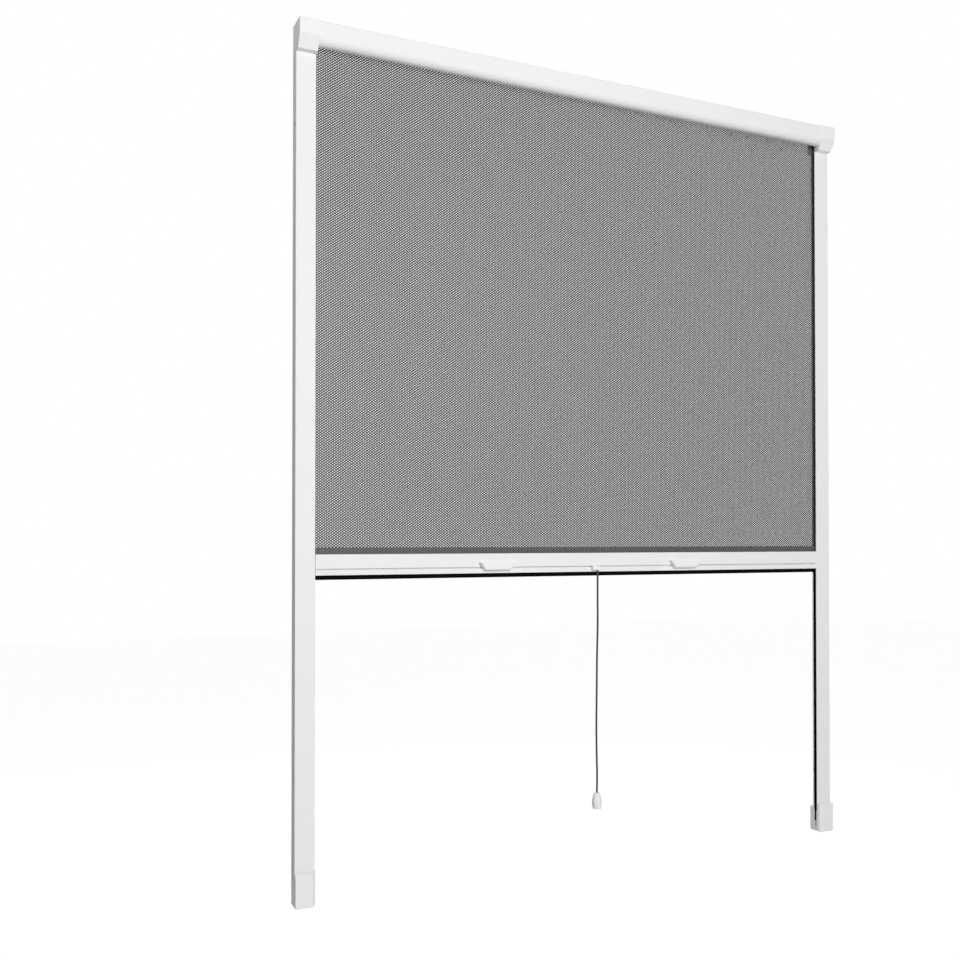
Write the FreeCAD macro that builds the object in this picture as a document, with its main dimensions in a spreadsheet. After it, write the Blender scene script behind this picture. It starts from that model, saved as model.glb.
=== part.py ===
import FreeCAD, Part
import math
import os
import Sketcher

# Roller insect screen for a window: cassette, two guide rails and a mesh pulled half down.
# Millimetres. X runs along the cassette, Y into the wall and Z up.
# The origin is on the cassette's flat back face, at its mid width and mid height. Fronts face -Y.

DRIVING_SIZES = {
    # Whole screen
    "overall_width": 1000.0,
    "overall_height": 1290.0,
    # Cassette housing, an extruded section open below
    "cassette_height": 41.2,
    "cassette_depth": 37.7,
    "cassette_wall": 1.4,
    "cassette_top_radius": 3.0,
    "front_face_height": 23.0,
    "front_curl_radius": 12.0,
    "front_curl_lip": 1.0,
    "rear_wall_height": 23.0,
    "rear_flange": 7.0,
    # End caps
    "cap_width": 30.0,
    "cap_proud": 0.8,
    "cap_wall": 2.0,
    "cap_facet_depth": 11.0,
    "cap_edge_radius": 1.6,
    "cap_corner_radius": 2.5,
    "cap_boss_radius": 5.5,
    "cap_boss_length": 8.0,
    "cap_tab_length": 12.0,
    "cap_tab_thickness": 1.2,
    "cap_tab_height": 14.0,
    "cap_web_clearance": 1.5,
    # Guide rails
    "rail_width": 30.0,
    "rail_depth": 18.5,
    "rail_wall": 1.5,
    "rail_front_wall": 1.2,
    "rail_step": 8.0,
    "rail_edge_radius": 0.8,
    "groove_width": 8.6,
    "brush_rib_width": 0.8,
    "brush_rib_height": 0.4,
    "screw_hole_radius": 2.25,
    "screw_end_margin": 104.6,
    # Brush strips in the grooves
    "brush_seat": 5.2,
    "brush_backing": 0.8,
    "brush_pile_width": 4.4,
    "brush_height": 2.8,
    # Feet under the rails
    "foot_height": 50.5,
    "foot_base_height": 38.0,
    "foot_lug_height": 5.0,
    "foot_proud": 7.3,
    "foot_corner_radius": 6.5,
    "foot_flange": 1.6,
    "foot_wedge_height": 12.0,
    "foot_wedge_side": 3.0,
    "foot_mouth_width": 5.5,
    "foot_slot_floor": 18.0,
    "foot_slot_depth": 24.0,
    "foot_recess_size": 6.0,
    "foot_recess_floor": 7.0,
    "foot_recess_height": 9.0,
    "foot_recess_depth": 8.0,
    "side_notch_width": 4.5,
    "side_notch_height": 6.0,
    "side_notch_depth": 1.5,
    "side_notch_bottom": 19.0,
    "side_notch_back": 18.0,
    "catch_plate": 2.0,
    "catch_pin_radius": 1.5,
    "catch_pin_length": 3.5,
    "spigot_length": 20.0,
    # Roller and its spring
    "roller_drop": 16.5,
    "tube_radius": 8.5,
    "tube_wall": 1.0,
    "tube_reach": 12.0,
    "keder_rib_width": 4.4,
    "keder_rib_depth": 3.2,
    "keder_radius": 1.0,
    "keder_mouth": 1.0,
    "plug_length": 18.0,
    "plug_flange": 1.5,
    "shaft_radius": 3.0,
    "shaft_length": 300.0,
    "shaft_square": 5.0,
    "anchor_length": 12.0,
    "anchor_radius": 5.0,
    "wire_radius": 0.5,
    "spring_pitch": 9.0,
    "pin_radius": 2.5,
    "pin_reach": 14.0,
    # Cloth
    "roll_radius": 10.4,
    "cloth_thickness": 0.25,
    "cloth_side_reach": 10.0,
    "cloth_gap_share": 0.62,
    "cloth_ridge_height": 0.12,
    "cloth_ridge_width": 2.0,
    "hem_height": 10.0,
    "hem_thickness": 1.0,
    # Bottom bar
    "bar_drop": 736.1,
    "bar_height": 31.0,
    "bar_depth": 11.0,
    "bar_wall": 1.2,
    "bar_edge_radius": 0.6,
    "bar_channel_width": 4.4,
    "bar_channel_depth": 4.2,
    "bar_channel_mouth": 1.6,
    "bar_keder_radius": 1.6,
    "snap_groove_drop": 22.4,
    "snap_groove_height": 2.2,
    "snap_groove_depth": 5.0,
    "brush_slot_width": 6.0,
    "brush_slot_height": 1.4,
    "brush_slot_mouth": 4.4,
    "bar_brush_drop": 6.8,
    "end_plate": 2.0,
    "end_spigot_length": 12.0,
    "tongue_length": 20.0,
    "tongue_lift": 14.0,
    "tongue_top_drop": 1.0,
    # Grips and pull cord
    "grip_offset": 177.7,
    "grip_top_drop": 13.5,
    "grip_height": 13.0,
    "grip_width": 63.0,
    "grip_lower_width": 44.0,
    "grip_depth": 9.5,
    "grip_corner_radius": 3.0,
    "grip_edge_radius": 3.5,
    "grip_lip": 1.8,
    "grip_back": 2.2,
    "grip_trough_depth": 8.5,
    "grip_trough_width": 43.0,
    "grip_snap_width": 40.0,
    "knob_side": 1.2,
    "knob_width": 14.0,
    "knob_height": 8.3,
    "knob_top_drop": 20.3,
    "knob_depth": 6.0,
    "knob_radius": 2.0,
    "cord_stand_off": 3.0,
    "cord_side": 3.8,
    "cord_diameter": 3.2,
    "bell_height": 26.0,
    "bell_top_radius": 3.6,
    "bell_shoulder_radius": 6.4,
    "bell_waist_radius": 8.6,
    "bell_foot_radius": 7.0,
    # Clearances
    "cloth_clearance": 0.3,
    "tongue_clearance": 0.3,
    "bar_side_clearance": 0.5,
    "spigot_clearance": 0.15,
    "strip_clearance": 0.05,
    "running_clearance": 0.05,
    "spring_clearance": 0.3,
}

GAP_COLUMNS = 12
GAP_ROWS = 10
BELL_SIDES = 8

# Route of the pull cord, chosen by hand, counted from where it leaves the knob: X, Y, Z
CORD_ROUTE = [
    (0.0, 0.0, 0.0),
    (-0.3, -0.3, -42.0),
    (0.2, 0.1, -90.0),
    (-1.3, 0.5, -143.0),
    (-2.0, -0.1, -198.0),
    (-3.3, -0.6, -252.0),
    (-2.3, 0.1, -302.0),
    (-1.0, 0.4, -338.0),
    (-2.1, 0.0, -364.7),
]

doc = FreeCAD.newDocument("roller_screen")
sheet = doc.addObject("Spreadsheet::Sheet", "Sizes")
nodes = []


class Length:
    """A length that carries its number and the sheet formula that gives it."""

    def __init__(self, formula, value):
        self.formula = formula
        self.value = value

    def _join(self, sign, other, value):
        text = other.formula if isinstance(other, Length) else repr(float(other))
        return Length("(%s %s %s)" % (self.formula, sign, text), value)

    def __add__(self, other):
        return self._join("+", other, self.value + number(other))

    def __sub__(self, other):
        return self._join("-", other, self.value - number(other))

    def __mul__(self, other):
        return self._join("*", other, self.value * number(other))

    def __truediv__(self, other):
        return self._join("/", other, self.value / number(other))

    def __neg__(self):
        return Length("(0 - %s)" % self.formula, -self.value)


def number(length):
    return length.value if isinstance(length, Length) else float(length)


def size(alias):
    return Length("Sizes." + alias, DRIVING_SIZES[alias])


def fill_sheet():
    for row, (alias, value) in enumerate(DRIVING_SIZES.items(), start=1):
        sheet.set("A%d" % row, alias)
        sheet.set("B%d" % row, str(value))
        sheet.setAlias("B%d" % row, alias)
    doc.recompute()


def bind(item, **properties):
    """Tie properties of an object to sheet formulas."""
    for name, length in properties.items():
        item.setExpression(name, length.formula)


def place(item, x=None, y=None, z=None):
    for axis, length in (("x", x), ("y", y), ("z", z)):
        if length is not None:
            item.setExpression("Placement.Base." + axis, length.formula)


def keep(item, name):
    """Register an object as a finished sub-part."""
    item.Label = name
    nodes.append(item)
    return item


# Sketches


def new_body(name):
    body = doc.addObject("PartDesign::Body", name)
    body.Label = name
    return body


def new_sketch(body, name, role, offset=None):
    sketch = body.newObject("Sketcher::SketchObject", name)
    plane = next(item for item in body.Origin.OriginFeatures if item.Role == role)
    sketch.AttachmentSupport = (plane, [""])
    sketch.MapMode = "FlatFace"
    if offset is not None:
        sketch.setExpression("AttachmentOffset.Base.z", offset.formula)
    return sketch


def pin_point(sketch, geometry, point, a, b):
    """Hold a sketch point at the lengths a and b from the sketch's origin."""
    for kind, length in (("DistanceX", a), ("DistanceY", b)):
        rule = Sketcher.Constraint(kind, -1, 1, geometry, point, length.value)
        index = sketch.addConstraint(rule)
        sketch.setExpression("Constraints[%d]" % index, length.formula)


def set_radius(sketch, geometry, radius):
    index = sketch.addConstraint(Sketcher.Constraint("Radius", geometry, radius.value))
    sketch.setExpression("Constraints[%d]" % index, radius.formula)


def corner_arc(before, corner, after, radius):
    """Arc tangent to both sides of a corner, and where it meets them."""
    back = (before - corner).normalize()
    ahead = (after - corner).normalize()
    half = back.getAngle(ahead) / 2
    reach = radius / math.tan(half)
    centre = corner + (back + ahead).normalize() * (radius / math.sin(half))
    first = corner + back * reach
    last = corner + ahead * reach
    left_turn = back.cross(ahead).z < 0
    start, stop = (first, last) if left_turn else (last, first)
    from_angle = math.atan2(start.y - centre.y, start.x - centre.x)
    to_angle = math.atan2(stop.y - centre.y, stop.x - centre.x)
    if to_angle < from_angle:
        to_angle += 2 * math.pi
    circle = Part.Circle(centre, FreeCAD.Vector(0, 0, 1), radius)
    return Part.ArcOfCircle(circle, from_angle, to_angle), first, last, left_turn


def draw_outline(sketch, corners):
    """Closed outline through corners (a, b) or, where it is rounded, (a, b, radius)."""
    count = len(corners)
    points = [FreeCAD.Vector(corner[0].value, corner[1].value, 0) for corner in corners]
    arrive = list(points)
    leave = list(points)
    arcs = {}
    for index, corner in enumerate(corners):
        if len(corner) == 3:
            before = points[index - 1]
            after = points[(index + 1) % count]
            arc, first, last, left_turn = corner_arc(before, points[index], after, corner[2].value)
            arrive[index] = first
            leave[index] = last
            arcs[index] = (sketch.addGeometry(arc, False), left_turn)
    lines = []
    for index in range(count):
        following = (index + 1) % count
        lines.append(sketch.addGeometry(Part.LineSegment(leave[index], arrive[following]), False))
    for index, corner in enumerate(corners):
        line_in = lines[index - 1]
        line_out = lines[index]
        if index in arcs:
            arc, left_turn = arcs[index]
            first, last = (1, 2) if left_turn else (2, 1)
            mark = sketch.addGeometry(Part.Point(points[index]), True)
            pin_point(sketch, mark, 1, corner[0], corner[1])
            sketch.addConstraint(Sketcher.Constraint("PointOnObject", mark, 1, line_in))
            sketch.addConstraint(Sketcher.Constraint("PointOnObject", mark, 1, line_out))
            sketch.addConstraint(Sketcher.Constraint("Tangent", line_in, 2, arc, first))
            sketch.addConstraint(Sketcher.Constraint("Tangent", arc, last, line_out, 1))
            set_radius(sketch, arc, corner[2])
        else:
            sketch.addConstraint(Sketcher.Constraint("Coincident", line_in, 2, line_out, 1))
            pin_point(sketch, line_out, 1, corner[0], corner[1])


def draw_rectangle(sketch, a_low, a_high, b_low, b_high):
    draw_outline(sketch, [(a_low, b_low), (a_high, b_low), (a_high, b_high), (a_low, b_high)])


def draw_circle(sketch, a, b, radius):
    centre = FreeCAD.Vector(a.value, b.value, 0)
    circle = sketch.addGeometry(Part.Circle(centre, FreeCAD.Vector(0, 0, 1), radius.value), False)
    pin_point(sketch, circle, 3, a, b)
    set_radius(sketch, circle, radius)


def pad(body, sketch, name, length, reverse=False):
    feature = body.newObject("PartDesign::Pad", name)
    feature.Profile = sketch
    feature.Reversed = reverse
    bind(feature, Length=length)
    return feature


def pocket(body, sketch, name, length, reverse=False):
    """Cut the sketch out; unreversed, the cut runs against the plane's normal."""
    doc.recompute()
    before = body.Shape.Volume
    feature = body.newObject("PartDesign::Pocket", name)
    feature.Profile = sketch
    feature.Reversed = reverse
    bind(feature, Length=length)
    doc.recompute()
    if body.Shape.Volume >= before:
        raise RuntimeError("the pocket %s cuts nothing" % name)
    return feature


def round_edges(body, name, radius, chosen):
    """Fillet the edges of the body that the test picks."""
    doc.recompute()
    base = body.Tip
    picked = ["Edge%d" % (index + 1) for index, edge in enumerate(base.Shape.Edges) if chosen(edge)]
    if not picked:
        raise RuntimeError("no edge for %s" % name)
    feature = body.newObject("PartDesign::Fillet", name)
    feature.Base = (base, picked)
    bind(feature, Radius=radius)
    doc.recompute()
    return feature


def near(value, target):
    return abs(value - target) < 1e-4


# Plain solids


def box(name, x, y, z):
    """Box from three (low, high) pairs of lengths."""
    item = doc.addObject("Part::Box", name)
    bind(item, Length=x[1] - x[0], Width=y[1] - y[0], Height=z[1] - z[0])
    place(item, x[0], y[0], z[0])
    return item


def rod_along_x(name, radius, x, y, z):
    """Round rod along X between the two lengths in x."""
    item = doc.addObject("Part::Cylinder", name)
    bind(item, Radius=radius, Height=x[1] - x[0])
    item.Placement.Rotation = FreeCAD.Rotation(FreeCAD.Vector(0, 1, 0), 90)
    place(item, x[0], y, z)
    return item


def cut(name, base, tool):
    item = doc.addObject("Part::Cut", name)
    item.Base = base
    item.Tool = tool
    return item


def fuse(name, shapes):
    item = doc.addObject("Part::MultiFuse", name)
    item.Shapes = shapes
    return item


def mirrored(name, source):
    """The same piece for the other end of the screen."""
    item = doc.addObject("Part::Mirroring", name)
    item.Source = source
    item.Base = FreeCAD.Vector(0, 0, 0)
    item.Normal = FreeCAD.Vector(1, 0, 0)
    return keep(item, name)


# Places that several pieces share

fill_sheet()

HALF_WIDTH = size("overall_width") / 2
HALF_CASSETTE = size("cassette_height") / 2
CAP_INNER = HALF_WIDTH - size("cap_width")
CAP_TOP = HALF_CASSETTE + size("cap_proud")
CAP_DEPTH = size("cassette_depth") + size("cap_proud")
FRONT_FACE_END = HALF_CASSETTE - size("front_face_height")
REAR_WALL_END = HALF_CASSETTE - size("rear_wall_height")
RAIL_INNER = HALF_WIDTH - size("rail_width")
RAIL_TOP = -CAP_TOP
FOOT_BOTTOM = CAP_TOP - size("overall_height")
RAIL_BOTTOM = FOOT_BOTTOM + size("foot_base_height")
GROOVE_FRONT = size("rail_front_wall") - size("rail_depth")
GROOVE_REAR = GROOVE_FRONT + size("groove_width")
GROOVE_Y = (GROOVE_FRONT + GROOVE_REAR) / 2
CHAMBER_FRONT = GROOVE_REAR + size("rail_wall")
AXIS_Y = GROOVE_Y - size("cloth_thickness") / 2 - size("cloth_clearance") - size("roll_radius")
AXIS_Z = HALF_CASSETTE - size("roller_drop")
TUBE_END = CAP_INNER + size("tube_reach")
CLOTH_EDGE = RAIL_INNER + size("cloth_side_reach")
BAR_TOP = RAIL_TOP - size("bar_drop")
BAR_BOTTOM = BAR_TOP - size("bar_height")
BAR_FRONT = -size("rail_depth")
BAR_REAR = BAR_FRONT + size("bar_depth")
BAR_MIDDLE = (BAR_FRONT + BAR_REAR) / 2
BAR_END = RAIL_INNER - size("bar_side_clearance")
BAR_PROFILE_END = BAR_END - size("end_plate")
SNAP_GROOVE_Z = BAR_TOP - size("snap_groove_drop")
CORD_TOP = BAR_TOP - size("knob_top_drop") - size("knob_height")
ZERO = size("overall_width") * 0


def make_housing():
    """Cassette housing: back wall, top, front and its curl, open below for the cloth."""
    wall = size("cassette_wall")
    front = -size("cassette_depth")
    curl = size("front_curl_radius")
    curl_bottom = FRONT_FACE_END - curl
    lip_end = front + curl + size("front_curl_lip")
    body = new_body("cassette_housing")
    section = new_sketch(body, "housing_section", "YZ_Plane")
    draw_outline(section, [
        (ZERO, REAR_WALL_END),
        (ZERO, HALF_CASSETTE),
        (front, HALF_CASSETTE, size("cassette_top_radius")),
        (front, curl_bottom, curl),
        (lip_end, curl_bottom),
        (lip_end, curl_bottom + wall),
        (front + wall, curl_bottom + wall, curl - wall),
        (front + wall, HALF_CASSETTE - wall, size("cassette_top_radius") - wall),
        (-wall, HALF_CASSETTE - wall),
        (-wall, REAR_WALL_END + wall),
        (-size("rear_flange"), REAR_WALL_END + wall),
        (-size("rear_flange"), REAR_WALL_END),
    ])
    pad(body, section, "housing_pad", CAP_INNER * 2)
    place(body, x=-CAP_INNER)
    return keep(body, "cassette_housing")


def cap_outline(inset):
    """Side outline of an end cap, drawn in by the inset."""
    bottom = inset - CAP_TOP
    front = inset - CAP_DEPTH
    facet_end = front + size("cap_facet_depth")
    radius = size("cap_corner_radius")
    return [
        (-inset, bottom),
        (-inset, CAP_TOP - inset),
        (front, CAP_TOP - inset, radius),
        (front, FRONT_FACE_END),
        (facet_end, bottom, radius),
    ]


def make_cap(name, square_socket):
    """End cap of the right side, with a boss for the pin or the square shaft end."""
    body = new_body(name)
    place(body, x=CAP_INNER)
    wall = size("cap_wall")
    shell = new_sketch(body, name + "_outline", "YZ_Plane")
    draw_outline(shell, cap_outline(ZERO))
    pad(body, shell, name + "_block", size("cap_width"))
    outer = size("cap_width").value

    def on_outer_rim(edge):
        on_plane = all(near(vertex.X, outer) for vertex in edge.Vertexes)
        return on_plane and not all(near(vertex.Y, 0) for vertex in edge.Vertexes)

    round_edges(body, name + "_rim", size("cap_edge_radius"), on_outer_rim)
    hollow = new_sketch(body, name + "_hollow", "YZ_Plane")
    draw_outline(hollow, cap_outline(wall))
    pocket(body, hollow, name + "_pocket", size("cap_width") - wall, reverse=True)
    add_cap_webs(body, name)
    boss_face = size("cap_width") - wall - size("cap_boss_length")
    boss = new_sketch(body, name + "_boss", "YZ_Plane", boss_face)
    draw_circle(boss, AXIS_Y, AXIS_Z, size("cap_boss_radius"))
    pad(body, boss, name + "_boss_pad", size("cap_boss_length") + wall / 2)
    socket = new_sketch(body, name + "_socket", "YZ_Plane", boss_face)
    if square_socket:
        half = size("shaft_square") / 2
        draw_rectangle(socket, AXIS_Y - half, AXIS_Y + half, AXIS_Z - half, AXIS_Z + half)
    else:
        draw_circle(socket, AXIS_Y, AXIS_Z, size("pin_radius"))
    pocket(body, socket, name + "_socket_cut", size("cap_boss_length"), reverse=True)
    slot = new_sketch(body, name + "_cloth_slot", "XY_Plane", -CAP_TOP)
    slot_end = size("tube_reach")
    draw_rectangle(slot, ZERO, slot_end, GROOVE_FRONT + size("brush_rib_height"), GROOVE_REAR)
    pocket(body, slot, name + "_cloth_slot_cut", wall, reverse=True)
    add_rail_spigot(body, name, -CAP_TOP, size("cap_width") - size("rail_width"), downward=True)
    add_cap_tabs(body, name)
    return body


def add_cap_webs(body, name):
    """Two walls across the open side of a cap, below the roller, with room for the cloth between."""
    wall = size("cap_wall")
    bottom = -CAP_TOP
    top = AXIS_Z - size("roll_radius") - size("cap_web_clearance")
    slot_front = GROOVE_FRONT + size("brush_rib_height")
    facet_end = size("cap_facet_depth") - CAP_DEPTH
    front = new_sketch(body, name + "_front_web", "YZ_Plane")
    draw_outline(front, [
        (slot_front, bottom),
        (slot_front, top),
        (facet_end, top),
        (facet_end, bottom + wall),
        (facet_end + size("cap_corner_radius"), bottom),
    ])
    pad(body, front, name + "_front_web_pad", wall)
    rear = new_sketch(body, name + "_rear_web", "YZ_Plane")
    draw_rectangle(rear, GROOVE_REAR, ZERO, bottom, REAR_WALL_END)
    pad(body, rear, name + "_rear_web_pad", wall)


def add_rail_spigot(body, name, level, rail_start, downward):
    """Spigot that fits the closed chamber of the rail."""
    clearance = size("spigot_clearance")
    wall = size("rail_wall")
    spigot = new_sketch(body, name + "_spigot", "XY_Plane", level)
    x_low = rail_start + size("rail_step") + wall + clearance
    x_high = rail_start + size("rail_width") - wall - clearance
    draw_rectangle(spigot, x_low, x_high, CHAMBER_FRONT + clearance, -wall - clearance)
    pad(body, spigot, name + "_spigot_pad", size("spigot_length"), reverse=downward)


def add_cap_tabs(body, name):
    """Two tabs that slide into the housing, one along its top and one along its back."""
    wall = size("cassette_wall")
    clearance = size("spigot_clearance")
    thick = size("cap_tab_thickness")
    tall = size("cap_tab_height")
    roof = HALF_CASSETTE - wall - clearance
    back = -wall - clearance
    reach = size("cap_tab_length")
    root = size("cap_wall")
    start = -reach
    for side, y_low, y_high, z_low, z_high in (
        ("top", back - tall * 2, back, roof - thick, roof),
        ("back", back - thick, back, roof - thick - tall, roof - thick),
    ):
        tab = new_sketch(body, "%s_%s_tab" % (name, side), "YZ_Plane", start)
        draw_rectangle(tab, y_low, y_high, z_low, z_high)
        pad(body, tab, "%s_%s_tab_pad" % (name, side), reach + size("cap_width") - root)


def make_end_caps():
    keep(make_cap("end_cap_right", False), "end_cap_right")
    mirrored("end_cap_left", make_cap("left_cap_pattern", True))


def rib_steps(wall_y, inward):
    """Points of the two small ribs that hold a brush strip, from the mouth inwards."""
    width = size("brush_rib_width")
    top = wall_y + size("brush_rib_height") * inward
    seat_start = RAIL_INNER + width
    seat_end = seat_start + size("brush_seat")
    return [
        (RAIL_INNER, top),
        (seat_start, top),
        (seat_start, wall_y),
        (seat_end, wall_y),
        (seat_end, top),
        (seat_end + width, top),
        (seat_end + width, wall_y),
    ]


def make_rail():
    """Guide rail of the right side: groove towards the cloth, a narrower closed chamber behind it."""
    wall = size("rail_wall")
    radius = size("rail_edge_radius")
    front = -size("rail_depth")
    outer = HALF_WIDTH
    floor = outer - wall
    chamber_start = RAIL_INNER + size("rail_step")
    body = new_body("guide_rail_right")
    section = new_sketch(body, "rail_section", "XY_Plane")
    outline = [
        (chamber_start, ZERO),
        (outer, ZERO),
        (outer, front, radius),
        (RAIL_INNER, front, radius),
    ]
    outline += rib_steps(GROOVE_FRONT, 1)
    outline += [(floor, GROOVE_FRONT), (floor, GROOVE_REAR)]
    outline += list(reversed(rib_steps(GROOVE_REAR, -1)))
    outline += [(RAIL_INNER, CHAMBER_FRONT), (chamber_start, CHAMBER_FRONT)]
    draw_outline(section, outline)
    draw_rectangle(section, chamber_start + wall, floor, CHAMBER_FRONT, -wall)
    pad(body, section, "rail_pad", RAIL_TOP - RAIL_BOTTOM)
    holes = new_sketch(body, "rail_screw_holes", "YZ_Plane", outer)
    middle = (RAIL_TOP - RAIL_BOTTOM) / 2
    spacing = middle - size("screw_end_margin")
    for step in (-1, 0, 1):
        draw_circle(holes, GROOVE_Y, middle + spacing * step, size("screw_hole_radius"))
    pocket(body, holes, "rail_screw_cuts", wall)
    place(body, z=RAIL_BOTTOM)
    keep(body, "guide_rail_right")
    mirrored("guide_rail_left", body)


def make_rail_brush(side, wall_y, inward):
    """Brush strip in a groove and in the foot's slot: a backing between the ribs and its pile."""
    seat_start = RAIL_INNER + size("brush_rib_width") + size("strip_clearance")
    seat_end = seat_start + size("brush_seat") - size("strip_clearance") * 2
    middle = (seat_start + seat_end) / 2
    pile = size("brush_pile_width") / 2
    backing = wall_y + size("brush_backing") * inward
    tip = wall_y + size("brush_height") * inward
    bottom = FOOT_BOTTOM + size("foot_slot_floor") + size("strip_clearance")
    name = "rail_brush_%s_right" % side
    body = new_body(name)
    section = new_sketch(body, name + "_section", "XY_Plane")
    draw_outline(section, [
        (seat_start, wall_y),
        (seat_end, wall_y),
        (seat_end, backing),
        (middle + pile, backing),
        (middle + pile, tip),
        (middle - pile, tip),
        (middle - pile, backing),
        (seat_start, backing),
    ])
    pad(body, section, name + "_pad", RAIL_TOP - bottom)
    place(body, z=bottom)
    keep(body, name)
    mirrored("rail_brush_%s_left" % side, body)


def make_foot():
    """Foot of the right rail: base, flange before the rail, lug behind it, slot for the tongue."""
    front = -size("rail_depth") - size("foot_proud")
    radius = size("foot_corner_radius")
    base = size("foot_base_height")
    body = new_body("foot_right")
    block = new_sketch(body, "foot_outline", "XY_Plane")
    draw_outline(block, [
        (RAIL_INNER, ZERO),
        (HALF_WIDTH, ZERO),
        (HALF_WIDTH, front),
        (RAIL_INNER, front, radius),
    ])
    pad(body, block, "foot_block", size("foot_height"))
    bottom_radius = size("cap_edge_radius")

    def under_front(edge):
        low = all(near(vertex.Z, 0) for vertex in edge.Vertexes)
        return low and any(vertex.Y < front.value + radius.value + 1 for vertex in edge.Vertexes)

    round_edges(body, "foot_bottom_round", bottom_radius, under_front)
    seat = new_sketch(body, "foot_rail_seat", "XY_Plane", base)
    chamber_start = RAIL_INNER + size("rail_step")
    draw_outline(seat, [
        (RAIL_INNER, CHAMBER_FRONT),
        (RAIL_INNER, -size("rail_depth")),
        (HALF_WIDTH, -size("rail_depth")),
        (HALF_WIDTH, ZERO),
        (chamber_start, ZERO),
        (chamber_start, CHAMBER_FRONT),
    ])
    pocket(body, seat, "foot_seat_cut", size("foot_height") - base, reverse=True)
    lug_top = base + size("foot_lug_height")
    lug = new_sketch(body, "foot_lug_top", "XY_Plane", lug_top)
    draw_rectangle(lug, RAIL_INNER, chamber_start, CHAMBER_FRONT, ZERO)
    pocket(body, lug, "foot_lug_cut", size("foot_height") - lug_top, reverse=True)
    wedge = new_sketch(body, "foot_wedge", "YZ_Plane", RAIL_INNER + size("foot_wedge_side"))
    wedge_bottom = size("foot_height") - size("foot_wedge_height")
    draw_outline(wedge, [
        (-size("rail_depth"), wedge_bottom),
        (-size("rail_depth"), size("foot_height")),
        (front + size("foot_flange"), size("foot_height")),
    ])
    pocket(body, wedge, "foot_wedge_cut", size("rail_width") - size("foot_wedge_side"), reverse=True)
    slot_rise = base - size("foot_slot_floor")
    mouth = new_sketch(body, "foot_slot_mouth", "XY_Plane", size("foot_slot_floor"))
    half_mouth = size("foot_mouth_width") / 2
    mouth_end = RAIL_INNER + size("brush_rib_width")
    draw_rectangle(mouth, RAIL_INNER, mouth_end, GROOVE_Y - half_mouth, GROOVE_Y + half_mouth)
    pocket(body, mouth, "foot_mouth_cut", slot_rise, reverse=True)
    slot = new_sketch(body, "foot_slot", "XY_Plane", size("foot_slot_floor"))
    draw_rectangle(slot, mouth_end, RAIL_INNER + size("foot_slot_depth"), GROOVE_FRONT, GROOVE_REAR)
    pocket(body, slot, "foot_slot_cut", slot_rise, reverse=True)
    recess = new_sketch(body, "foot_recess", "YZ_Plane", RAIL_INNER)
    half_recess = size("foot_recess_size") / 2
    recess_top = size("foot_recess_floor") + size("foot_recess_height")
    draw_rectangle(recess, GROOVE_Y - half_recess, GROOVE_Y + half_recess, size("foot_recess_floor"), recess_top)
    pocket(body, recess, "foot_recess_cut", size("foot_recess_depth"), reverse=True)
    notch = new_sketch(body, "foot_side_notch", "YZ_Plane", HALF_WIDTH)
    notch_top = size("side_notch_bottom") + size("side_notch_height")
    notch_front = -size("side_notch_back") - size("side_notch_width")
    draw_rectangle(notch, notch_front, -size("side_notch_back"), size("side_notch_bottom"), notch_top)
    pocket(body, notch, "foot_notch_cut", size("side_notch_depth"))
    add_rail_spigot(body, "foot", base, RAIL_INNER, downward=False)
    place(body, z=FOOT_BOTTOM)
    keep(body, "foot_right")
    mirrored("foot_left", body)


def make_foot_catch():
    """Catch in the foot's recess: a plate on the recess floor and a pin towards the bar."""
    half = size("foot_recess_size") / 2
    back = RAIL_INNER + size("foot_recess_depth")
    plate_front = back - size("catch_plate")
    low = FOOT_BOTTOM + size("foot_recess_floor")
    high = low + size("foot_recess_height")
    plate = box("catch_plate_blank", (plate_front, back), (GROOVE_Y - half, GROOVE_Y + half), (low, high))
    pin_x = (plate_front - size("catch_pin_length"), plate_front)
    pin = rod_along_x("catch_pin_blank", size("catch_pin_radius"), pin_x, GROOVE_Y, (low + high) / 2)
    catch = keep(fuse("foot_catch_right", [plate, pin]), "foot_catch_right")
    mirrored("foot_catch_left", catch)


def make_tube():
    """Roller tube with an inner rib that carries the slot for the cloth's welt."""
    span = (-TUBE_END, TUBE_END)
    rib_half = size("keder_rib_width") / 2
    rib_top = AXIS_Z + size("tube_radius") - size("tube_wall") / 2
    rib_low = AXIS_Z + size("tube_radius") - size("keder_rib_depth")
    outer = rod_along_x("tube_outer", size("tube_radius"), span, AXIS_Y, AXIS_Z)
    inner = rod_along_x("tube_inner", size("tube_radius") - size("tube_wall"), span, AXIS_Y, AXIS_Z)
    ring = cut("tube_ring", outer, inner)
    rib = box("tube_rib", span, (AXIS_Y - rib_half, AXIS_Y + rib_half), (rib_low, rib_top))
    blank = fuse("tube_blank", [ring, rib])
    bore_radius = size("keder_radius") + size("strip_clearance")
    bore = rod_along_x("tube_welt_bore", bore_radius, span, AXIS_Y, keder_axis_z())
    mouth_half = size("keder_mouth") / 2
    mouth = box(
        "tube_welt_mouth",
        span,
        (AXIS_Y - mouth_half, AXIS_Y + mouth_half),
        (keder_axis_z(), AXIS_Z + size("tube_radius")),
    )
    keep(cut("roller_tube", blank, fuse("tube_welt_slot", [bore, mouth])), "roller_tube")
    welt_span = (-CLOTH_EDGE, CLOTH_EDGE)
    keep(rod_along_x("tube_keder", size("keder_radius"), welt_span, AXIS_Y, keder_axis_z()), "tube_keder")


def keder_axis_z():
    return AXIS_Z + size("tube_radius") - size("keder_rib_depth") / 2


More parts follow.
